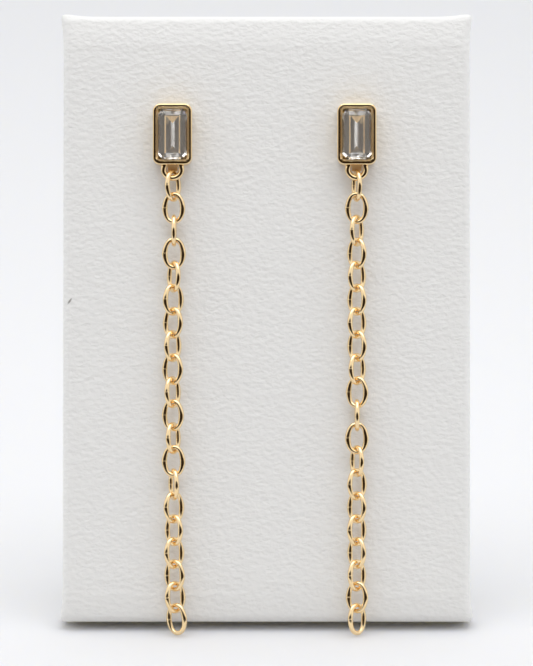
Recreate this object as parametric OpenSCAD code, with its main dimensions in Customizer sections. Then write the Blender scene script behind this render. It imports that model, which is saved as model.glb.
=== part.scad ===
// A pair of chain drop earrings on a padded display card that leans back on its strut.
// Millimetres, +Z up, front towards -Y. The origin is under the middle of the whole object.
// The card and all that it carries are drawn with the card upright, then leaned back together:
// x runs across the card's face, z runs up from its lower edge and y runs into the card.

/* [Card] */
// Width across the card
card_w = 51; // [46:0.5:60]
// Height along the card
card_h = 75.9; // [70:0.1:90]
// Thickness of the padded card
card_t = 6; // [4:0.5:8]
// Lean of the card back from upright, in degrees
lean = 13.5; // [8:0.5:20]
// Radius of the rolled front edges
front_roll = 1.1; // [0.6:0.1:1.8]
// Radius of the rolled back edges
back_roll = 0.6; // [0.3:0.1:1.5]
// How far the pulled corners stand out past the edges
corner_pull = 0.3; // [0.1:0.05:0.5]
// Length of edge over which a corner is pulled out
corner_reach = 1.2; // [0.8:0.1:3]

/* [Strut] */
// Thickness of the strut board
board_t = 1.5; // [1:0.1:2.5]
// Height along the card of the fold between the glued tab and the leg
fold_h = 50; // [40:1:60]
// Length of the tab that is glued to the card
tab_l = 14; // [8:1:20]
// Distance of the leg's foot behind the card's front lower edge
foot_reach = 29; // [24:1:40]
// Width of the strut at the top of its tab
strut_top_w = 13; // [10:1:18]
// Width of the strut at its foot
strut_foot_w = 22; // [16:1:36]

/* [Setting] */
// Width of the setting across the card
setting_w = 4.9; // [4.6:0.1:6]
// Height of the setting along the card
setting_h = 7.65; // [7:0.05:9]
// Depth of the setting from the card to its rim
setting_d = 2.8; // [2.6:0.1:3.4]
// Thickness of the setting's wall
wall_t = 0.66; // [0.6:0.02:0.72]
// Radius of the rim's rounded outer edge
rim_r = 0.22; // [0.16:0.02:0.22]
// Width of the rim's flat top
rim_flat = 0.14; // [0.14:0.02:0.2]
// Depth of the rim's slope down to the stone
lip_d = 0.45; // [0.4:0.05:0.5]
// Outer radius of the setting's upright corners
corner_r = 0.95; // [0.85:0.05:1.2]
// Left setting's centre, across the card from its middle
left_x = -11.72; // [-16:0.02:-8]
// Right setting's centre, across the card from its middle
right_x = 11.26; // [8:0.02:16]
// Height of both settings' centres along the card
setting_z = 60.82; // [60:0.02:64]

/* [Stone] */
// Depth of the rim above the stone's table
table_drop = 0.2; // [0.16:0.02:0.24]
// How far the stone's girdle reaches under the rim on each side
girdle_hold = 0.07; // [0.04:0.01:0.08]
// Clearance round the stone
stone_play = 0.05; // [0.04:0.01:0.08]

/* [Lug and post] */
// Outer diameter of the lug ring
lug_d = 2.95; // [2.85:0.05:3.4]
// Wire diameter of the lug ring
lug_wire = 0.72; // [0.6:0.02:0.76]
// Distance of the lug ring's centre below the setting
lug_drop = 0.48; // [0.4:0.02:0.6]
// Width of the solder web behind the lug ring
web_w = 1.2; // [0.8:0.1:1.3]
// Height of the solder web below the setting
web_h = 0.5; // [0.3:0.05:0.5]
// Diameter of the ear post
post_d = 0.8; // [0.7:0.05:0.9]
// Length of the ear post from the back of the setting to its tip
post_l = 11; // [10:0.5:12]
// Length of the post's end past the notch that an ear nut clicks into
post_end_l = 2.2; // [1.8:0.1:3]
// Width of the notch
notch_w = 0.6; // [0.55:0.05:0.8]
// Smallest diameter of the post in the notch
notch_d = 0.56; // [0.5:0.02:0.64]
// Diameter of the post holes in the card
post_hole_d = 1; // [0.95:0.05:1.4]

/* [Chain] */
// Length over the outside of a link
link_l = 4.04; // [4:0.02:4.3]
// Width over the outside of a link
link_w = 3; // [2.96:0.02:3.06]
// Wire diameter of a link
link_wire = 0.56; // [0.46:0.02:0.58]
// Mean play between two links of the hanging chain
link_play = 0.06; // [0.04:0.005:0.12]
// Distance of the chain's middle line in front of the card
chain_y = 1.54; // [1.54:0.01:1.7]

/* [Hidden] */
$fn = 48;
gold = [0.87, 0.7, 0.42];

// Links from the top one down: turn about the chain in degrees, with the right side to the front
// when positive, then the shift to the right, the drop below the even pitch, and the lean of the
// lower end to the right in degrees. The lowest links are raised, because the last one stands on
// the floor.
TURN = 0;
SHIFT = 1;
DROP = 2;
LEAN = 3;
left_links = [
    [-54, 0.05, -0.08, 2],
    [12, 0.14, -0.16, 1],
    [90, 0.18, -0.2, 0],
    [-4, 0.18, -0.2, 0],
    [60, 0.16, -0.19, -1],
    [-32, 0.1, -0.16, -1],
    [35, 0.05, -0.13, -1],
    [-49, 0.03, -0.1, 0],
    [30, 0.02, -0.08, 0],
    [-53, 0.02, -0.06, 1],
    [23, 0.06, -0.06, 1],
    [-58, 0.1, -0.06, 1],
    [6, 0.14, -0.06, 1],
    [70, 0.17, -0.03, 1],
    [-34, 0.19, -0.03, 0],
    [43, 0.19, -0.06, 1],
    [-37, 0.22, -0.08, 1],
    [33, 0.28, -0.15, 2],
    [-34, 0.36, -0.3, 2],
    [32, 0.55, -0.46, 6]
];
right_links = [
    [72, 0, -0.08, 0],
    [8, 0, -0.16, 0],
    [-58, 0, -0.2, 0],
    [40, 0, -0.2, 0],
    [-43, 0, -0.19, 0],
    [41, 0, -0.16, 0],
    [-40, 0, -0.13, 0],
    [40, 0.02, -0.1, 0],
    [-47, 0.03, -0.08, 0],
    [23, 0.03, -0.06, 0],
    [90, 0.02, -0.06, 0],
    [-4, 0, -0.06, 0],
    [60, 0, -0.06, 0],
    [-37, 0, -0.03, 0],
    [40, -0.02, -0.03, 0],
    [-38, -0.03, -0.06, 0],
    [43, -0.03, -0.08, 0],
    [-42, -0.02, -0.15, 0],
    [23, 0, -0.3, 0],
    [-42, 0, -0.46, 0]
];

// Where the leaned card stands: its lower back edge is on the floor and its front edge is lifted.
face_lift = card_t * sin(lean) - back_roll * (cos(lean) + sin(lean) - 1);

// The strut, in upright planes through the object: y back from the card's front lower edge.
glue = 0.05;
fold = on_floor(card_t + glue, fold_h);
leg_angle = atan((foot_reach - fold.x) / fold.y);
tab_normal = [cos(lean), -sin(lean)];
leg_normal = [cos(leg_angle), sin(leg_angle)];
fold_outer = fold + board_t * (tab_normal + leg_normal) / (1 + tab_normal * leg_normal);
back_reach = foot_reach + board_t / cos(leg_angle);
front_reach = 2.55;
origin_y = (back_reach - front_reach) / 2;

// The stone's steps from its keel up to its table: half widths across and along the setting, and
// heights over the card.
seat_gap = 0.05;
girdle_w = setting_w / 2 - wall_t + girdle_hold;
girdle_h = setting_h / 2 - wall_t + girdle_hold;
table_top = setting_d - table_drop;
ACROSS = 0;
ALONG = 1;
RISE = 2;
stone_steps = [
    [0, 1.43, table_top - 2.137],
    [0.8, 2.34, table_top - 1.534],
    [0.98, 2.52, table_top - 1.43],
    [girdle_w, girdle_h, table_top - 0.55],
    [girdle_w, girdle_h, table_top - 0.45],
    [girdle_w - 0.25, girdle_h - 0.25, table_top]
];
floor_t = 0.4;
bed_rise = table_top - 0.9;

// The chain: pitch of the links and the four arcs of a link's centre line, whose middles lie on a
// diamond with sides in the ratio 3 to 4 to 5.
half_l = (link_l - link_wire) / 2;
half_w = (link_w - link_wire) / 2;
end_r = half_w - (half_l - half_w) / 2;
side_r = half_w + 2 * (half_l - half_w);
end_rise = half_l - end_r;
joint = [side_r - half_w, end_rise];
link_pitch = link_l - 2 * link_wire - link_play;
lug_r = (lug_d - lug_wire) / 2;
lug_z = setting_z - setting_h / 2 - lug_drop;
lug_bury = 0.3;
web_back = chain_y - 0.85;
web_t = 0.6;
first_link_z = lug_z - lug_r + lug_wire / 2 + link_wire / 2 + link_play - half_l;

function on_floor(y, z) = [z * sin(lean) + y * cos(lean), z * cos(lean) - y * sin(lean) + face_lift];
function link_name(side, i) = str(side, "_link_", i < 9 ? "0" : "", i + 1);
function link_names(side, links) = [for (i = [0:len(links) - 1]) link_name(side, i)];

module lean_back() {
    translate([0, -origin_y, face_lift]) rotate([-lean, 0, 0]) children();
}

// Cross-section of the card: front at y = 0, rolled front and back edges.
module card_section(low, high) {
    width = high - low;
    translate([low + front_roll, 0]) square([width - 2 * front_roll, card_t - back_roll]);
    translate([low, front_roll]) square([width, card_t - front_roll - back_roll]);
    translate([low + back_roll, front_roll]) square([width - 2 * back_roll, card_t - front_roll]);
    for (side = [low + front_roll, high - front_roll]) translate([side, front_roll]) circle(front_roll);
    for (side = [low + back_roll, high - back_roll]) translate([side, card_t - back_roll]) circle(back_roll);
}

// Front outline of the card, with its corners pulled out a little past the rolled sections, which
// blunt their tips.
module card_outline() {
    side = card_w / 2;
    pull = 1.3 * corner_pull;
    tip = side + pull;
    inner = side - corner_reach;
    right = [[inner, 0], [tip, corner_pull], [side, corner_reach], [side, card_h - corner_reach],
        [tip, card_h + pull], [inner, card_h]];
    left = [for (i = [len(right) - 1:-1:0]) [-right[i].x, right[i].y]];
    polygon(concat(right, left));
}

module display_card() {
    reach = card_w / 2 + corner_pull;
    color("whitesmoke") lean_back() difference() {
        intersection() {
            translate([0, card_t + 1, 0]) rotate([90, 0, 0]) linear_extrude(card_t + 2) card_outline();
            translate([0, 0, -1]) linear_extrude(card_h + 3) card_section(-reach, reach);
            translate([-reach - 1, 0, 0]) rotate([90, 0, 90]) linear_extrude(2 * reach + 2)
                mirror([1, -1]) card_section(0, card_h + corner_pull);
        }
        for (x = [left_x, right_x])
            translate([x, -1, setting_z]) rotate([-90, 0, 0]) cylinder(h = card_t + 2, d = post_hole_d);
    }
}

// One board, scored and folded: a glued tab, and a leg that is cut level with the floor.
module easel_strut() {
    tab_top = on_floor(card_t + glue, fold_h + tab_l);
    tab_outer = tab_top + board_t * tab_normal;
    profile = [tab_top, fold, [foot_reach, 0], [back_reach, 0], fold_outer, tab_outer];
    outline = [[-strut_foot_w / 2, -1], [strut_foot_w / 2, -1], [strut_top_w / 2, tab_top.y + 1],
        [-strut_top_w / 2, tab_top.y + 1]];
    color("lightgray") translate([0, -origin_y, 0]) intersection() {
        translate([-strut_foot_w / 2, 0, 0]) rotate([90, 0, 90]) linear_extrude(strut_foot_w) polygon(profile);
        translate([0, back_reach + 1, 0]) rotate([90, 0, 0]) linear_extrude(back_reach + 2) polygon(outline);
    }
}

// Section through a setting's wall, from its outer face at x = 0 inwards. The rim is rounded outside,
// flat on top and slopes down to the stone.
module wall_section() {
    polygon([[0, seat_gap], [wall_t, seat_gap], [wall_t, setting_d - lip_d], [rim_r + rim_flat, setting_d],
        [rim_r, setting_d], [rim_r, setting_d - rim_r], [0, setting_d - rim_r]]);
    translate([rim_r, setting_d - rim_r]) circle(rim_r);
}

// Four straight walls and four turned corners, drawn lying on their back.
module setting_wall() {
    side_x = setting_w / 2;
    side_y = setting_h / 2;
    run_x = side_x - corner_r;
    run_y = side_y - corner_r;
    for (turn = [0, 180]) rotate([0, 0, turn]) {
        translate([side_x, run_y, 0]) rotate([90, 0, 0])
            linear_extrude(2 * run_y) mirror([1, 0]) wall_section();
        translate([-run_x, side_y, 0]) rotate([90, 0, 90])
            linear_extrude(2 * run_x) mirror([1, 0]) wall_section();
    }
    for (turn = [[run_x, run_y, 0], [-run_x, run_y, 90], [-run_x, -run_y, 180], [run_x, -run_y, 270]])
        translate([turn.x, turn.y, 0]) rotate([0, 0, turn.z]) rotate_extrude(angle = 90)
            translate([corner_r, 0]) mirror([1, 0]) wall_section();
}

// Block inside the wall that carries the stone, with a well under the pavilion.
module setting_bed() {
    bed = [setting_w - 1.2 * wall_t, setting_h - 1.2 * wall_t];
    well = [setting_w - 2 * wall_t - 0.5, setting_h - 2 * wall_t - 0.5];
    difference() {
        translate([-bed.x / 2, -bed.y / 2, seat_gap]) cube([bed.x, bed.y, bed_rise - seat_gap]);
        translate([-well.x / 2, -well.y / 2, floor_t]) cube([well.x, well.y, setting_d]);
    }
}

// Step-cut stone, lying on its keel: the steps across it, crossed with the same steps along it.
module step_cut(grow) {
    wide = girdle_w + grow;
    high = girdle_h + grow;
    intersection() {
        translate([0, high, 0]) rotate([90, 0, 0]) linear_extrude(2 * high) step_profile(ACROSS, grow);
        translate([-wide, 0, 0]) rotate([90, 0, 90]) linear_extrude(2 * wide) step_profile(ALONG, grow);
    }
}

module step_profile(half, grow) {
    right = [for (step = stone_steps) [step[half] + grow, step[RISE]]];
    left = [for (i = [len(right) - 1:-1:0]) if (right[i].x > 0) [-right[i].x, right[i].y]];
    polygon(concat(right, left));
}

module wire_ring(r, wire) {
    rotate_extrude() translate([r, 0]) circle(d = wire);
}

// Ring under the setting, cut off inside the setting's wall.
module lug_ring() {
    low = -setting_h / 2 - lug_drop - lug_d;
    intersection() {
        translate([0, -setting_h / 2 - lug_drop, chain_y]) wire_ring(lug_r, lug_wire);
        translate([-lug_d, low, 0]) cube([2 * lug_d, -setting_h / 2 + lug_bury - low, setting_d]);
    }
}

// Ear post, which starts inside the setting's floor, with a notch near its blunt tip.
module ear_post() {
    root = 0.1 - floor_t;
    tip = post_l - seat_gap;
    notch = tip - post_end_l - notch_w;
    blunt = post_d / 4;
    translate([0, 0, root]) cylinder(h = notch - root, d = post_d);
    translate([0, 0, notch]) cylinder(h = notch_w / 2, d1 = post_d, d2 = notch_d);
    translate([0, 0, notch + notch_w / 2]) cylinder(h = notch_w / 2, d1 = notch_d, d2 = post_d);
    translate([0, 0, tip - post_end_l]) cylinder(h = post_end_l - blunt, d = post_d);
    translate([0, 0, tip - blunt]) cylinder(h = blunt, d1 = post_d, d2 = post_d / 2);
}

// Setting, lug ring, solder web and ear post, soldered into one piece. The stone with its clearance
// cuts the seat.
module setting(x) {
    color(gold) lean_back() translate([x, 0, setting_z]) {
        rotate([90, 0, 0]) {
            difference() {
                union() {
                    setting_wall();
                    setting_bed();
                }
                step_cut(stone_play);
            }
            lug_ring();
            translate([-web_w / 2, -setting_h / 2 - web_h, web_back]) cube([web_w, web_h + lug_bury, web_t]);
        }
        rotate([-90, 0, 0]) ear_post();
    }
}

module stone(x) {
    color("lightcyan", 0.5) lean_back() translate([x, 0, setting_z]) rotate([90, 0, 0]) step_cut(0);
}

// An oval link lying flat, with its length along y: rings cut to two end arcs and two side arcs
// along the lines through their centres, where the arcs meet without a corner.
module oval_link() {
    far = 3;
    for (side = [-1, 1]) {
        intersection() {
            translate([0, side * end_rise, 0]) wire_ring(end_r, link_wire);
            translate([0, 0, -link_wire]) linear_extrude(2 * link_wire) polygon([
                [0, side * joint.y], [far * joint.x, side * (far + 1) * joint.y],
                [-far * joint.x, side * (far + 1) * joint.y]
            ]);
        }
        intersection() {
            translate([side * (half_w - side_r), 0, 0]) wire_ring(side_r, link_wire);
            translate([0, 0, -link_wire]) linear_extrude(2 * link_wire) polygon([
                [-side * joint.x, 0], [side * far * joint.x, (far + 1) * joint.y],
                [side * far * joint.x, -(far + 1) * joint.y]
            ]);
        }
    }
}

module link(x, links, i) {
    color(gold) lean_back() translate([x + links[i][SHIFT], -chain_y, first_link_z - i * link_pitch - links[i][DROP]])
        rotate([0, -links[i][LEAN], 0]) rotate([90, 0, -links[i][TURN]]) oval_link();
}

display_card();
easel_strut();
setting(left_x);  // left_setting
setting(right_x);  // right_setting
stone(left_x);  // left_stone
stone(right_x);  // right_stone
for (i = [0:len(left_links) - 1])
    link(left_x, left_links, i);
for (i = [0:len(right_links) - 1])
    link(right_x, right_links, i);
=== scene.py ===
"""A pair of chain drop earrings with step-cut stones on a padded display card, as a studio picture."""

import math

import bpy
from mathutils import Matrix, Vector


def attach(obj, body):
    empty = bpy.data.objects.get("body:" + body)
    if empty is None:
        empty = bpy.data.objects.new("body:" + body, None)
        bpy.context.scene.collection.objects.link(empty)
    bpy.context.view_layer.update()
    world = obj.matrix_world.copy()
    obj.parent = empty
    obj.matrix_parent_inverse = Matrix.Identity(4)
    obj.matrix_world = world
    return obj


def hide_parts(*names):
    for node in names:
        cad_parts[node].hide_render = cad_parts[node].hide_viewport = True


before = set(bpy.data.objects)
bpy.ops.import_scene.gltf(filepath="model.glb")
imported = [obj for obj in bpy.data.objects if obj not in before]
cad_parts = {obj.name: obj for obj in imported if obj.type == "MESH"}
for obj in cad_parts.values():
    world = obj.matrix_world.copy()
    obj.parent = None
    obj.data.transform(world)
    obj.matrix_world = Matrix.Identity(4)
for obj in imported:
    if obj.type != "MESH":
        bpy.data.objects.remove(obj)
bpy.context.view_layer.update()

# Camera: a long lens half a metre in front of the card, looking down at it by 12 degrees, so that it
# meets the leaning card almost square on. Eight pixels of the 666 high picture show one millimetre.
mm = 0.001
lean = math.radians(13.5)
stand_back = 13.9956 * mm
face_lift = 1.2772 * mm
card_place = Matrix.Translation((0, -stand_back, face_lift)) @ Matrix.Rotation(-lean, 4, "X")

camera_distance = 500 * mm
camera_drop = math.radians(12)
picture_pixels = 666
pixels_per_mm = 8
film = 36
aim_height = 36.1 * mm
aim = card_place @ Vector((0, 0, aim_height))
view_line = Vector((0, -math.cos(camera_drop), math.sin(camera_drop)))
bpy.ops.object.camera_add(
    location=aim + camera_distance * view_line,
    rotation=(math.pi / 2 - camera_drop, 0, 0),
)
camera = bpy.context.object
camera.data.sensor_fit = "VERTICAL"
camera.data.sensor_height = film
camera.data.lens = film * pixels_per_mm * camera_distance / (picture_pixels * mm)
camera.data.clip_start = 0.05
camera.data.clip_end = 10
bpy.context.scene.camera = camera
bpy.context.scene.view_settings.view_transform = "Standard"

# Studio: a white paper floor in a soft tent of light, with a softbox overhead. The tent is open in
# front, where the dark room shows in the polished gold as a dark line along each wire, so the part of
# the paper that lies in front of the tent's opening is left out of reflections.
tent_light = (0.97, 0.98, 1.0, 1)
room_dark = (0.028, 0.018, 0.009, 1)
opening_tilt = math.radians(-15)
opening_turn = math.radians(-4)
opening_half_w = math.sin(math.radians(66.5))
opening_half_h = math.sin(math.radians(46))
opening_softness = 0.05
tent = bpy.data.worlds.new("light_tent")
tent.use_nodes = True
nodes = tent.node_tree.nodes
links = tent.node_tree.links
sky = nodes["Background"]
direction = nodes.new("ShaderNodeTexCoord")
into_opening = nodes.new("ShaderNodeMapping")
into_opening.vector_type = "TEXTURE"
into_opening.inputs["Rotation"].default_value = (-opening_tilt, 0, opening_turn)
into_opening.inputs["Scale"].default_value = (opening_half_w, 1, opening_half_h)
links.new(direction.outputs["Generated"], into_opening.inputs["Vector"])
across = nodes.new("ShaderNodeVectorMath")
across.operation = "MULTIPLY"
across.inputs[1].default_value = (1, 0, 1)
links.new(into_opening.outputs["Vector"], across.inputs[0])
off_centre = nodes.new("ShaderNodeVectorMath")
off_centre.operation = "LENGTH"
links.new(across.outputs["Vector"], off_centre.inputs[0])
opening = nodes.new("ShaderNodeMapRange")
opening.interpolation_type = "SMOOTHSTEP"
opening.inputs["From Min"].default_value = 1 - opening_softness
opening.inputs["From Max"].default_value = 1 + opening_softness
opening.inputs["To Min"].default_value = 1
opening.inputs["To Max"].default_value = 0
links.new(off_centre.outputs["Value"], opening.inputs["Value"])
split = nodes.new("ShaderNodeSeparateXYZ")
links.new(into_opening.outputs["Vector"], split.inputs["Vector"])
in_front = nodes.new("ShaderNodeMath")
in_front.operation = "LESS_THAN"
in_front.inputs[1].default_value = 0
links.new(split.outputs["Y"], in_front.inputs[0])
room_seen = nodes.new("ShaderNodeMath")
room_seen.operation = "MULTIPLY"
links.new(opening.outputs["Result"], room_seen.inputs[0])
links.new(in_front.outputs["Value"], room_seen.inputs[1])
tent_to_room = nodes.new("ShaderNodeMix")
tent_to_room.data_type = "RGBA"
tent_to_room.inputs["A"].default_value = tent_light
tent_to_room.inputs["B"].default_value = room_dark
links.new(room_seen.outputs["Value"], tent_to_room.inputs["Factor"])
links.new(tent_to_room.outputs["Result"], sky.inputs["Color"])
bpy.context.scene.world = tent

bpy.ops.object.light_add(type="AREA", location=(0, -0.2, 0.8))
softbox = bpy.context.object
softbox.name = "overhead_softbox"
softbox.data.shape = "RECTANGLE"
softbox.data.size = 0.9
softbox.data.size_y = 0.6
softbox.data.energy = 2.9

floor_reach = 3
floor_front = -0.09
paper = bpy.data.materials.new("white_paper")
paper.use_nodes = True
shader = paper.node_tree.nodes["Principled BSDF"]
shader.inputs["Base Color"].default_value = (0.725, 0.725, 0.732, 1)
shader.inputs["Subsurface Weight"].default_value = 1
shader.inputs["Subsurface Scale"].default_value = 7 * mm
shader.inputs["Subsurface Radius"].default_value = (1, 0.95, 0.8)
shader.inputs["Roughness"].default_value = 0.8
shader.inputs["Specular IOR Level"].default_value = 0.2
for name, low, high, in_reflections in (
    ("floor", floor_front, floor_reach, True),
    ("front_floor", -floor_reach, floor_front, False),
):
    bpy.ops.mesh.primitive_plane_add(size=1, location=(0, (low + high) / 2, 0))
    floor = bpy.context.object
    floor.name = name
    floor.scale = (2 * floor_reach, high - low, 1)
    floor.visible_glossy = in_reflections
    floor.data.materials.append(paper)

# Display card: foam on board, wrapped in white leatherette with a fine creased grain. The wrap rolls
# softly round the edges, is pulled out to small ears where it is folded at the corners, and is turned
# over on the back. Two holes take the ear posts.
card_w = 51 * mm
card_h = 75.9 * mm
card_t = 6 * mm
faces_across = 60
faces_up = 90
front_roll = 1.1 * mm
back_roll = 0.6 * mm
ear_reach = 3 * mm
ear_out = 0.3 * mm
padding_reach = 4.5 * mm
top_fall = 0.46 * mm
foot_fall = 0.31 * mm
turned_over = 8 * mm
wrap_thick = 0.12 * mm
wrap_step = 0.1 * mm
padding_wave = 0.1 * mm
padding_wave_l = 12 * mm
face_depth = 0.05 * mm
left_x = -11.72 * mm
right_x = 11.26 * mm
setting_z = 60.82 * mm
post_hole_r = 0.5 * mm
hair = 0.01 * mm


def select_where(piece, kind, wanted):
    """Selects the piece's vertices, edges or faces whose middle is wanted, and goes to edit mode."""
    bpy.ops.object.mode_set(mode="EDIT")
    bpy.ops.mesh.select_mode(type={"vertices": "VERT", "edges": "EDGE", "polygons": "FACE"}[kind])
    bpy.ops.mesh.select_all(action="DESELECT")
    bpy.ops.object.mode_set(mode="OBJECT")
    corners = piece.data.vertices
    for part in getattr(piece.data, kind):
        if kind == "vertices":
            middle = part.co
        else:
            middle = sum((corners[v].co for v in part.vertices), Vector()) / len(part.vertices)
        part.select = wanted(middle)
    bpy.ops.object.mode_set(mode="EDIT")


bpy.ops.object.select_all(action="DESELECT")
bpy.ops.mesh.primitive_grid_add(
    x_subdivisions=faces_across, y_subdivisions=faces_up, size=1,
    location=(0, 0, card_h / 2), rotation=(math.pi / 2, 0, 0),
)
card = bpy.context.object
card.name = "padded_card"
card.scale = (card_w - 2 * front_roll, card_h - 2 * front_roll, 1)
bpy.ops.object.transform_apply(location=True, rotation=True, scale=True)

quarter = [math.radians(angle) for angle in (18, 36, 54, 72, 90)]
straight = card_t - front_roll - back_roll
edge_profile = [(front_roll * (1 - math.sin(a)), front_roll * (1 - math.cos(a))) for a in quarter]
edge_profile += [(0, front_roll + straight * part / 4) for part in (1, 2, 3, 4)]
edge_profile += [
    (back_roll * (1 - math.cos(a)), card_t - back_roll * (1 - math.sin(a))) for a in quarter
]
bpy.ops.object.mode_set(mode="EDIT")
bpy.ops.mesh.select_mode(type="EDGE")
bpy.ops.mesh.select_all(action="SELECT")
bpy.ops.mesh.region_to_loop()
last_inset, last_depth = front_roll, 0
for inset, depth in edge_profile:
    bpy.ops.mesh.extrude_region_move(TRANSFORM_OT_translate={"value": (0, depth - last_depth, 0)})
    bpy.ops.transform.resize(
        value=((card_w - 2 * inset) / (card_w - 2 * last_inset), 1,
               (card_h - 2 * inset) / (card_h - 2 * last_inset)),
        center_override=(0, 0, card_h / 2),
    )
    last_inset, last_depth = inset, depth
bpy.ops.mesh.fill_grid(span=faces_across)
bpy.ops.mesh.select_all(action="SELECT")
bpy.ops.mesh.normals_make_consistent(inside=False)
select_where(card, "polygons", lambda p: (
    p.y > card_t - hair
    and abs(p.x) < card_w / 2 - turned_over
    and abs(p.z - card_h / 2) < card_h / 2 - turned_over
))
bpy.ops.mesh.inset(thickness=wrap_step, depth=-wrap_thick)
for side in (-1, 1):
    for base, up in ((0, 0), (card_h, 1)):
        corner = Vector((side * card_w / 2, 0, base))
        select_where(card, "vertices", lambda p: (
            Vector((p.x - corner.x, 0, p.z - corner.z)).length < front_roll
        ))
        bpy.ops.transform.translate(
            value=(side * ear_out, 0, up * ear_out), use_proportional_edit=True,
            proportional_edit_falloff="SHARP", proportional_size=ear_reach,
        )
for fall, wanted in (
    (top_fall, lambda p: p.z > card_h - front_roll - hair and p.y < front_roll + hair),
    (foot_fall, lambda p: p.z < front_roll + hair and p.y < front_roll + hair),
):
    select_where(card, "vertices", wanted)
    bpy.ops.transform.translate(
        value=(0, fall, 0), use_proportional_edit=True,
        proportional_edit_falloff="SHARP", proportional_size=padding_reach,
    )
bpy.ops.object.mode_set(mode="OBJECT")

soft = card.modifiers.new("soft_corners", "SUBSURF")
soft.levels = 1
soft.render_levels = 1
bpy.ops.object.modifier_apply(modifier=soft.name)
face = card.vertex_groups.new(name="face")
face.add([v.index for v in card.data.vertices if v.co.y < face_depth], 1, "REPLACE")
foam = bpy.data.textures.new("uneven_foam", "CLOUDS")
foam.noise_scale = padding_wave_l
sag = card.modifiers.new("uneven_padding", "DISPLACE")
sag.texture = foam
sag.texture_coords = "LOCAL"
sag.vertex_group = face.name
sag.mid_level = 1
sag.strength = padding_wave
bpy.ops.object.modifier_apply(modifier=sag.name)
for x in (left_x, right_x):
    bpy.ops.mesh.primitive_cylinder_add(
        vertices=24, radius=post_hole_r, depth=3 * card_t,
        location=(x, 0, setting_z), rotation=(math.pi / 2, 0, 0),
    )
    punch = bpy.context.object
    bpy.context.view_layer.objects.active = card
    hole = card.modifiers.new("post_hole", "BOOLEAN")
    hole.operation = "DIFFERENCE"
    hole.solver = "EXACT"
    hole.object = punch
    bpy.ops.object.modifier_apply(modifier=hole.name)
    bpy.data.objects.remove(punch)
card.select_set(True)
bpy.ops.object.shade_smooth_by_angle(angle=math.radians(40))
card.data.transform(card_place)

leather = bpy.data.materials.new("card_leatherette")
leather.use_nodes = True
nodes = leather.node_tree.nodes
links = leather.node_tree.links
shader = nodes["Principled BSDF"]
shader.inputs["Roughness"].default_value = 0.5
place = nodes.new("ShaderNodeTexCoord")
upright = nodes.new("ShaderNodeMapping")
upright.vector_type = "TEXTURE"
upright.inputs["Location"].default_value = card_place.translation
upright.inputs["Rotation"].default_value = (-lean, 0, 0)
links.new(place.outputs["Object"], upright.inputs["Vector"])
stretch = nodes.new("ShaderNodeVectorMath")
stretch.operation = "MULTIPLY"
stretch.inputs[1].default_value = (0.75, 1, 1.15)
links.new(upright.outputs["Vector"], stretch.inputs[0])
creases = nodes.new("ShaderNodeTexNoise")
creases.inputs["Scale"].default_value = 2200
creases.inputs["Detail"].default_value = 2.5
creases.inputs["Roughness"].default_value = 0.5
creases.inputs["Distortion"].default_value = 0.9
links.new(stretch.outputs["Vector"], creases.inputs["Vector"])
pebbles = nodes.new("ShaderNodeTexVoronoi")
pebbles.feature = "SMOOTH_F1"
pebbles.inputs["Scale"].default_value = 1650
pebbles.inputs["Smoothness"].default_value = 0.6
links.new(stretch.outputs["Vector"], pebbles.inputs["Vector"])
grain = nodes.new("ShaderNodeMath")
grain.operation = "ADD"
links.new(creases.outputs["Fac"], grain.inputs[0])
links.new(pebbles.outputs["Distance"], grain.inputs[1])
relief = nodes.new("ShaderNodeBump")
relief.inputs["Distance"].default_value = 0.08 * mm
relief.inputs["Strength"].default_value = 1
links.new(grain.outputs["Value"], relief.inputs["Height"])
links.new(relief.outputs["Normal"], shader.inputs["Normal"])

scuff_place = Vector((-24.6 * mm, 0, 40.1 * mm))
scuff_half = Vector((0.16 * mm, 2 * mm, 0.55 * mm))
scuff_turn = math.radians(35)
at_scuff = nodes.new("ShaderNodeMapping")
at_scuff.vector_type = "TEXTURE"
at_scuff.inputs["Location"].default_value = scuff_place
at_scuff.inputs["Rotation"].default_value = (0, scuff_turn, 0)
at_scuff.inputs["Scale"].default_value = scuff_half
links.new(upright.outputs["Vector"], at_scuff.inputs["Vector"])
off_scuff = nodes.new("ShaderNodeVectorMath")
off_scuff.operation = "LENGTH"
links.new(at_scuff.outputs["Vector"], off_scuff.inputs[0])
rubbed = nodes.new("ShaderNodeMapRange")
rubbed.inputs["From Min"].default_value = 0.4
rubbed.inputs["From Max"].default_value = 1
rubbed.inputs["To Min"].default_value = 0.8
rubbed.inputs["To Max"].default_value = 0
links.new(off_scuff.outputs["Value"], rubbed.inputs["Value"])
tint = nodes.new("ShaderNodeMix")
tint.data_type = "RGBA"
tint.inputs["A"].default_value = (0.87, 0.861, 0.837, 1)
tint.inputs["B"].default_value = (0.2, 0.18, 0.16, 1)
links.new(rubbed.outputs["Result"], tint.inputs["Factor"])
links.new(tint.outputs["Result"], shader.inputs["Base Color"])
card.data.materials.append(leather)
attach(card, "root")
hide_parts("display_card")

# Easel strut: one strip of paper-covered greyboard behind the card, scored and folded between a tab
# that is glued on and a leg, which is made a little too long and then cut level with the table.
board_t = 1.5 * mm
fold_h = 50 * mm
tab_l = 14 * mm
foot_reach = 29 * mm
glue = 0.05 * mm
strut_top_w = 13 * mm
strut_foot_w = 22 * mm
leg_spare = 0.05
board_round = 0.12 * mm
tab_top = card_place @ Vector((0, card_t + glue, fold_h + tab_l))
fold = card_place @ Vector((0, card_t + glue, fold_h))
foot = Vector((0, foot_reach - stand_back, 0))


def strut_half_w(z):
    """Half the strut's width at a height: it widens evenly from its top to its foot."""
    return (strut_foot_w + (strut_top_w - strut_foot_w) * z / tab_top.z) / 2


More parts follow.
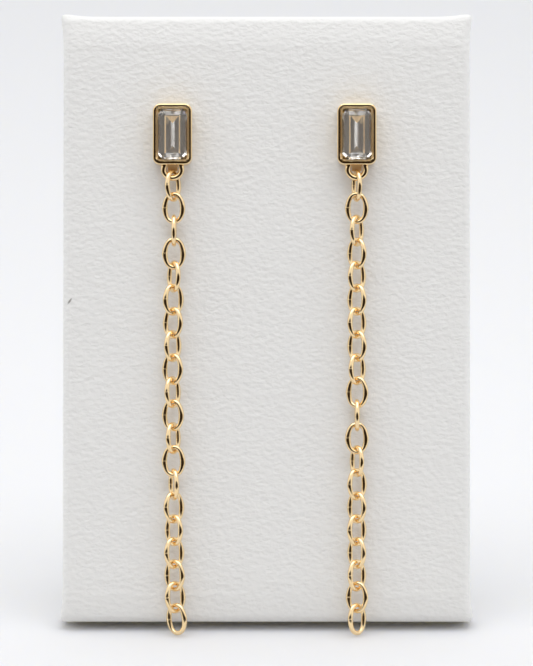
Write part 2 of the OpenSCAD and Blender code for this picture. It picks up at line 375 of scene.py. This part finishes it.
bpy.ops.object.select_all(action="DESELECT")
bpy.ops.mesh.primitive_plane_add(size=2, location=(0, 0, 0))
strut = bpy.context.object
strut.name = "easel_board"
leg_end = foot + (foot - fold) * leg_spare
for vertex in strut.data.vertices:
    end = tab_top if vertex.co.y > 0 else fold
    vertex.co = (vertex.co.x * strut_half_w(end.z), end.y, end.z)
select_where(strut, "edges", lambda p: (p - fold).length < 0.1 * mm)
bpy.ops.mesh.extrude_region_move(TRANSFORM_OT_translate={"value": leg_end - fold})
bpy.ops.transform.resize(
    value=(strut_half_w(leg_end.z) / strut_half_w(fold.z), 1, 1), center_override=leg_end
)
bpy.ops.object.mode_set(mode="OBJECT")
thick = strut.modifiers.new("board", "SOLIDIFY")
thick.thickness = board_t
thick.offset = -1
thick.use_even_offset = True
bpy.ops.object.modifier_apply(modifier=thick.name)
bpy.ops.object.mode_set(mode="EDIT")
bpy.ops.mesh.select_all(action="SELECT")
bpy.ops.mesh.bisect(plane_co=(0, 0, 0), plane_no=(0, 0, 1), clear_inner=True, use_fill=True)
bpy.ops.mesh.select_all(action="SELECT")
bpy.ops.mesh.normals_make_consistent(inside=False)
bpy.ops.mesh.bevel(offset=board_round, segments=2, affect="EDGES")
bpy.ops.object.mode_set(mode="OBJECT")
bpy.ops.object.shade_smooth_by_angle(angle=math.radians(30))

board = bpy.data.materials.new("paper_covered_board")
board.use_nodes = True
nodes = board.node_tree.nodes
links = board.node_tree.links
shader = nodes["Principled BSDF"]
shader.inputs["Roughness"].default_value = 0.85
shader.inputs["Specular IOR Level"].default_value = 0.25
place = nodes.new("ShaderNodeTexCoord")
fibres = nodes.new("ShaderNodeTexNoise")
fibres.inputs["Scale"].default_value = 900
fibres.inputs["Detail"].default_value = 4
links.new(place.outputs["Object"], fibres.inputs["Vector"])
facing = nodes.new("ShaderNodeSeparateXYZ")
links.new(place.outputs["Normal"], facing.inputs["Vector"])
sideways = nodes.new("ShaderNodeMath")
sideways.operation = "ABSOLUTE"
links.new(facing.outputs["X"], sideways.inputs[0])
cut_edge = nodes.new("ShaderNodeMapRange")
cut_edge.inputs["From Min"].default_value = 0.6
cut_edge.inputs["From Max"].default_value = 0.9
links.new(sideways.outputs["Value"], cut_edge.inputs["Value"])
paper_or_core = nodes.new("ShaderNodeMix")
paper_or_core.data_type = "RGBA"
paper_or_core.inputs["A"].default_value = (0.80, 0.79, 0.76, 1)
paper_or_core.inputs["B"].default_value = (0.42, 0.40, 0.37, 1)
links.new(cut_edge.outputs["Result"], paper_or_core.inputs["Factor"])
flecks = nodes.new("ShaderNodeMix")
flecks.data_type = "RGBA"
flecks.blend_type = "MULTIPLY"
flecks.inputs["Factor"].default_value = 0.12
links.new(paper_or_core.outputs["Result"], flecks.inputs["A"])
links.new(fibres.outputs["Color"], flecks.inputs["B"])
links.new(flecks.outputs["Result"], shader.inputs["Base Color"])
tooth = nodes.new("ShaderNodeBump")
tooth.inputs["Distance"].default_value = 0.02 * mm
tooth.inputs["Strength"].default_value = 0.6
links.new(fibres.outputs["Fac"], tooth.inputs["Height"])
links.new(tooth.outputs["Normal"], shader.inputs["Normal"])
strut.data.materials.append(board)
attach(strut, "root")
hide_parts("easel_strut")

# Settings: a cup of polished pale gold with a round rim rubbed over the stone, a lug ring soldered
# under it with a concave web of solder, and an ear post with a notch for its nut. One piece each.
setting_w = 4.9 * mm
setting_h = 7.65 * mm
setting_d = 2.8 * mm
seat_gap = 0.05 * mm
corner_r = 0.95 * mm
corner_steps = 10
rim_r = 0.22 * mm
rim_flat = 0.14 * mm
rim_steps = 6
lip_w = 0.3 * mm
lip_d = 0.45 * mm
polished_part = 0.4
wall_t = rim_r + rim_flat + lip_w
seat_rows = ((1.91, 3.285, 2.33), (1.91, 3.285, 2.03), (1.54, 2.915, 1.7), (1.54, 2.915, 0.4))
floor_t = 0.4 * mm
lug_d = 2.95 * mm
lug_wire = 0.72 * mm
lug_drop = 0.48 * mm
lug_bury = 0.3 * mm
chain_depth = 1.54 * mm
web_w = 1.24 * mm
web_depth = 0.86 * mm
web_rows = ((0, 0.5), (-0.15, 0.42), (-0.35, 0.34), (-0.5, 0.26), (-0.62, 0.18), (-0.7, 0.1))
post_d = 0.8 * mm
post_l = 11 * mm
post_end_l = 2.2 * mm
notch_w = 0.6 * mm
notch_d = 0.56 * mm

bpy.ops.object.select_all(action="DESELECT")
bpy.ops.mesh.primitive_plane_add(size=1, location=(0, -seat_gap, 0), rotation=(math.pi / 2, 0, 0))
cup = bpy.context.object
cup.scale = (setting_w, setting_h, 1)
bpy.ops.object.transform_apply(location=True, rotation=True, scale=True)
bpy.ops.object.mode_set(mode="EDIT")
bpy.ops.mesh.select_all(action="SELECT")
bpy.ops.mesh.bevel(offset=corner_r, segments=corner_steps, affect="VERTICES")
bpy.ops.mesh.select_mode(type="FACE")
bpy.ops.mesh.select_all(action="SELECT")
wall_rise = setting_d - rim_r - seat_gap
bpy.ops.mesh.extrude_region_move(TRANSFORM_OT_translate={"value": (0, -wall_rise, 0)})
for step in range(rim_steps):
    start, end = math.pi / 2 * step / rim_steps, math.pi / 2 * (step + 1) / rim_steps
    bpy.ops.mesh.inset(
        thickness=rim_r * (math.cos(start) - math.cos(end)),
        depth=rim_r * (math.sin(end) - math.sin(start)),
    )
bpy.ops.mesh.inset(thickness=rim_flat)
bpy.ops.mesh.inset(thickness=lip_w * polished_part, depth=-lip_d * polished_part)
bpy.ops.mesh.inset(thickness=lip_w * (1 - polished_part), depth=-lip_d * (1 - polished_part))
last_half_w, last_half_h, last_rise = setting_w / 2 - wall_t, setting_h / 2 - wall_t, setting_d - lip_d
for row in seat_rows:
    half_w, half_h, rise = (size * mm for size in row)
    bpy.ops.mesh.extrude_region_move(TRANSFORM_OT_translate={"value": (0, last_rise - rise, 0)})
    bpy.ops.transform.resize(
        value=(half_w / last_half_w, 1, half_h / last_half_h), center_override=(0, -rise, 0)
    )
    last_half_w, last_half_h, last_rise = half_w, half_h, rise
bpy.ops.object.mode_set(mode="OBJECT")

bpy.ops.mesh.primitive_torus_add(
    major_segments=64, minor_segments=20,
    major_radius=(lug_d - lug_wire) / 2, minor_radius=lug_wire / 2,
    location=(0, -chain_depth, -setting_h / 2 - lug_drop), rotation=(math.pi / 2, 0, 0),
)
lug = bpy.context.object
bpy.ops.object.transform_apply(location=True, rotation=True, scale=True)
bpy.ops.object.mode_set(mode="EDIT")
bpy.ops.mesh.select_all(action="SELECT")
web_top = -setting_h / 2 + lug_bury
bpy.ops.mesh.bisect(
    plane_co=(0, 0, web_top), plane_no=(0, 0, 1),
    use_fill=True, clear_outer=True, threshold=hair / 10,
)
bpy.ops.object.mode_set(mode="OBJECT")

bpy.ops.mesh.primitive_plane_add(size=1, location=(0, -web_depth, web_top), rotation=(math.pi, 0, 0))
web = bpy.context.object
web.scale = (web_w, 2 * web_rows[0][1] * mm, 1)
bpy.ops.object.transform_apply(location=True, rotation=True, scale=True)
bpy.ops.object.mode_set(mode="EDIT")
bpy.ops.mesh.select_all(action="SELECT")
bpy.ops.mesh.subdivide(number_cuts=5)
last_rise, last_half = lug_bury, web_rows[0][1]
for rise, half in web_rows:
    bpy.ops.mesh.extrude_region_move(TRANSFORM_OT_translate={"value": (0, 0, rise * mm - last_rise)})
    bpy.ops.transform.resize(value=(1, half / last_half, 1), center_override=(0, -web_depth, 0))
    last_rise, last_half = rise * mm, half
bpy.ops.object.mode_set(mode="OBJECT")

bpy.ops.mesh.primitive_circle_add(
    vertices=32, radius=post_d / 2, fill_type="NGON",
    location=(0, -floor_t / 2, 0), rotation=(-math.pi / 2, 0, 0),
)
post = bpy.context.object
bpy.ops.object.transform_apply(location=True, rotation=True, scale=True)
bpy.ops.object.mode_set(mode="EDIT")
bpy.ops.mesh.select_all(action="SELECT")
tip = post_l - seat_gap
notch = tip - post_end_l - notch_w
blunt = post_d / 4
last_y, last_r = -floor_t / 2, post_d / 2
for y, r in (
    (notch, post_d / 2), (notch + notch_w / 2, notch_d / 2), (notch + notch_w, post_d / 2),
    (tip - blunt, post_d / 2), (tip - blunt / 3, post_d / 3), (tip, post_d / 6),
):
    bpy.ops.mesh.extrude_region_move(TRANSFORM_OT_translate={"value": (0, y - last_y, 0)})
    bpy.ops.transform.resize(value=(r / last_r, 1, r / last_r), center_override=(0, y, 0))
    last_y, last_r = y, r
bpy.ops.object.mode_set(mode="OBJECT")

for part in (cup, lug, web, post):
    bpy.ops.object.select_all(action="DESELECT")
    part.select_set(True)
    bpy.context.view_layer.objects.active = part
    bpy.ops.object.mode_set(mode="EDIT")
    bpy.ops.mesh.select_all(action="SELECT")
    bpy.ops.mesh.normals_make_consistent(inside=False)
    bpy.ops.object.mode_set(mode="OBJECT")
    bpy.ops.object.shade_smooth_by_angle(angle=math.radians(40))

gold = bpy.data.materials.new("polished_gold")
gold.use_nodes = True
shader = gold.node_tree.nodes["Principled BSDF"]
shader.inputs["Base Color"].default_value = (0.96, 0.73, 0.42, 1)
shader.inputs["Metallic"].default_value = 1
shader.inputs["Roughness"].default_value = 0.08
rubbed_gold = gold.copy()
rubbed_gold.name = "rubbed_gold"
rubbed_gold.node_tree.nodes["Principled BSDF"].inputs["Roughness"].default_value = 0.45
solder = bpy.data.materials.new("satin_solder")
solder.use_nodes = True
shader = solder.node_tree.nodes["Principled BSDF"]
shader.inputs["Base Color"].default_value = (0.95, 0.66, 0.34, 1)
shader.inputs["Metallic"].default_value = 0.6
shader.inputs["Roughness"].default_value = 0.5
web.data.materials.append(solder)
for part in (cup, lug, post):
    part.data.materials.append(gold)
cup.data.materials.append(rubbed_gold)
rubbed_rise = setting_d - lip_d * (1 + polished_part) / 2
for polygon in cup.data.polygons:
    sloping = abs(polygon.normal.y) < 0.9
    if sloping and abs(polygon.center.y + rubbed_rise) < lip_d / 10:
        polygon.material_index = 1
for part in (cup, lug, web, post):
    part.select_set(True)
bpy.context.view_layer.objects.active = cup
bpy.ops.object.join()
for side, x in (("left", left_x), ("right", right_x)):
    piece = cup.copy()
    piece.data = cup.data.copy()
    piece.name = f"{side}_gold_setting"
    bpy.context.scene.collection.objects.link(piece)
    piece.data.transform(card_place @ Matrix.Translation((x, 0, setting_z)))
    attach(piece, "root")
    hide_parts(f"{side}_setting")
bpy.data.objects.remove(cup)

# Stones: clear crystal cut in steps round a long keel behind, with three facets ground at each corner,
# held at the girdle by the setting's rim. A step is a half width, a half height and a rise over the
# table, and a corner facet is a rise, the half width and half height left there together, and a slope.
table_drop = 0.2 * mm
table_top = setting_d - table_drop
girdle_row = (1.86, 3.235, -0.55)
crown_rows = ((1.86, 3.235, -0.45), (1.61, 2.985, 0))
pavilion_rows = ((1.61, 2.9, -0.8), (0.98, 2.42, -1.43), (0.8, 2.3, -1.534), (0.002, 1.43, -2.137))
corner_facets = ((-0.45, 4.345, -0.78), (-0.55, 4.345, 1.34), (-0.8, 4.01, 1.05))
seat_turn = math.radians(0.8)
seat_tip = math.radians(-1)

bpy.ops.object.select_all(action="DESELECT")
girdle_y = -(table_top + girdle_row[2] * mm)
bpy.ops.mesh.primitive_plane_add(size=2, location=(0, girdle_y, 0), rotation=(math.pi / 2, 0, 0))
gem = bpy.context.object
gem.scale = (girdle_row[0] * mm, girdle_row[1] * mm, 1)
bpy.ops.object.transform_apply(location=True, rotation=True, scale=True)
for rows in (crown_rows, pavilion_rows):
    select_where(gem, "polygons", lambda p: abs(p.y - girdle_y) < hair)
    last_half_w, last_half_h, last_rise = girdle_row
    for half_w, half_h, rise in rows:
        back = (last_rise - rise) * mm
        bpy.ops.mesh.extrude_region_move(TRANSFORM_OT_translate={"value": (0, back, 0)})
        bpy.ops.transform.resize(
            value=(half_w / last_half_w, 1, half_h / last_half_h), center_override=(0, 0, 0)
        )
        last_half_w, last_half_h, last_rise = half_w, half_h, rise
for across, up in ((-1, -1), (1, -1), (1, 1), (-1, 1)):
    for rise, reach, slope in corner_facets:
        bpy.ops.mesh.select_all(action="SELECT")
        bpy.ops.mesh.bisect(
            plane_co=(0, -(table_top + rise * mm), up * reach * mm), plane_no=(across, slope, up),
            use_fill=True, clear_outer=True, threshold=hair / 10,
        )
bpy.ops.mesh.select_all(action="SELECT")
bpy.ops.mesh.remove_doubles(threshold=hair)
bpy.ops.mesh.normals_make_consistent(inside=False)
bpy.ops.object.mode_set(mode="OBJECT")

crystal = bpy.data.materials.new("clear_crystal")
crystal.use_nodes = True
shader = crystal.node_tree.nodes["Principled BSDF"]
shader.inputs["Base Color"].default_value = (1, 0.96, 0.9, 1)
shader.inputs["Roughness"].default_value = 0
shader.inputs["IOR"].default_value = 1.7
shader.inputs["Transmission Weight"].default_value = 0.88
gem.data.materials.append(crystal)
for side, x, turn in (("left", left_x, -seat_turn), ("right", right_x, seat_turn)):
    piece = gem.copy()
    piece.data = gem.data.copy()
    piece.name = f"{side}_crystal"
    bpy.context.scene.collection.objects.link(piece)
    seat = Matrix.Rotation(turn, 4, "Z") @ Matrix.Rotation(seat_tip, 4, "X")
    piece.data.transform(card_place @ Matrix.Translation((x, 0, setting_z)) @ seat)
    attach(piece, "root")
    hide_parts(f"{side}_stone")
bpy.data.objects.remove(gem)

# Chains: each link is a round gold wire bent to an oval and soldered where its ends meet, halfway up
# one side. Twenty links hang from each lug ring, every one turned against its neighbours. A link's
# row gives its turn in degrees, its shift and drop in millimetres and its lean in degrees.
link_l = 4.04 * mm
link_w = 3 * mm
link_wire = 0.56 * mm
half_l = (link_l - link_wire) / 2
half_w = (link_w - link_wire) / 2
end_r = half_w - (half_l - half_w) / 2
side_r = half_w + 2 * (half_l - half_w)
end_rise = half_l - end_r
side_turn = math.atan2(end_rise, side_r - half_w)
end_turn = math.pi - 2 * side_turn
seam_turn = math.radians(2)
seam_swell = 1.06
side_wire_w = 0.72 * mm
side_wire_d = 0.62 * mm
swell_reach = 1.3 * mm

bpy.ops.object.select_all(action="DESELECT")
bpy.ops.mesh.primitive_circle_add(vertices=16, radius=link_wire / 2, location=(half_w, 0, 0))
link = bpy.context.object
bpy.ops.object.transform_apply(location=True)
bpy.ops.object.mode_set(mode="EDIT")
bpy.ops.mesh.select_all(action="SELECT")
right_middle = (half_w - side_r, 0, 0)
left_middle = (side_r - half_w, 0, 0)
for middle, angle, steps in (
    (right_middle, side_turn, 6),
    ((0, 0, end_rise), end_turn, 14),
    (left_middle, side_turn - seam_turn, 6),
    (left_middle, 2 * seam_turn, 4),
    (left_middle, side_turn - seam_turn, 6),
    ((0, 0, -end_rise), end_turn, 14),
    (right_middle, side_turn, 6),
):
    bpy.ops.mesh.spin(steps=steps, angle=angle, center=middle, axis=(0, 1, 0))
bpy.ops.mesh.select_all(action="SELECT")
bpy.ops.mesh.remove_doubles(threshold=hair)
bpy.ops.mesh.normals_make_consistent(inside=False)
select_where(link, "vertices", lambda p: p.x < 0 and abs(p.z) < hair)
bpy.ops.transform.resize(value=(seam_swell, seam_swell, 1), center_override=(-half_w, 0, 0))
for side in (-1, 1):
    select_where(link, "vertices", lambda p: p.x * side > 0 and abs(p.z) < 10 * hair)
    bpy.ops.transform.resize(
        value=(side_wire_w / link_wire, side_wire_d / link_wire, 1),
        center_override=(side * link_w / 2, 0, 0), use_proportional_edit=True,
        proportional_edit_falloff="SMOOTH", proportional_size=swell_reach,
    )
bpy.ops.object.mode_set(mode="OBJECT")
bpy.ops.object.shade_smooth()
drawn_gold = gold.copy()
drawn_gold.name = "drawn_gold"
drawn_gold.node_tree.nodes["Principled BSDF"].inputs["Roughness"].default_value = 0.15
link.data.materials.append(drawn_gold)

left_links = (
    (-54, 0.05, -0.08, 2), (12, 0.14, -0.16, 1), (90, 0.18, -0.2, 0), (-4, 0.18, -0.2, 0),
    (60, 0.16, -0.19, -1), (-32, 0.1, -0.16, -1), (35, 0.05, -0.13, -1), (-49, 0.03, -0.1, 0),
    (30, 0.02, -0.08, 0), (-53, 0.02, -0.06, 1), (23, 0.06, -0.06, 1), (-58, 0.1, -0.06, 1),
    (6, 0.14, -0.06, 1), (70, 0.17, -0.03, 1), (-34, 0.19, -0.03, 0), (43, 0.19, -0.06, 1),
    (-37, 0.22, -0.08, 1), (33, 0.28, -0.15, 2), (-34, 0.36, -0.3, 2), (32, 0.55, -0.46, 6),
)
right_links = (
    (72, 0, -0.08, 0), (8, 0, -0.16, 0), (-58, 0, -0.2, 0), (40, 0, -0.2, 0),
    (-43, 0, -0.19, 0), (41, 0, -0.16, 0), (-40, 0, -0.13, 0), (40, 0.02, -0.1, 0),
    (-47, 0.03, -0.08, 0), (23, 0.03, -0.06, 0), (90, 0.02, -0.06, 0), (-4, 0, -0.06, 0),
    (60, 0, -0.06, 0), (-37, 0, -0.03, 0), (40, -0.02, -0.03, 0), (-38, -0.03, -0.06, 0),
    (43, -0.03, -0.08, 0), (-42, -0.02, -0.15, 0), (23, 0, -0.3, 0), (-42, 0, -0.46, 0),
)
link_pitch = 2.86 * mm
first_link_v = 54.36 * mm
for side, middle, table in (("left", left_x, left_links), ("right", right_x, right_links)):
    for number, (turn, shift, drop, sideways_lean) in enumerate(table):
        piece = link.copy()
        piece.data = link.data.copy()
        piece.name = f"{side}_chain_link_{number + 1:02d}"
        bpy.context.scene.collection.objects.link(piece)
        link_v = first_link_v - number * link_pitch - drop * mm
        hung = Matrix.Translation((middle + shift * mm, -chain_depth, link_v))
        leaned = Matrix.Rotation(math.radians(-sideways_lean), 4, "Y")
        turned = Matrix.Rotation(math.radians(-turn), 4, "Z")
        piece.data.transform(card_place @ hung @ leaned @ turned)
        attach(piece, "root")
        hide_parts(f"{side}_link_{number + 1:02d}")
bpy.data.objects.remove(link)
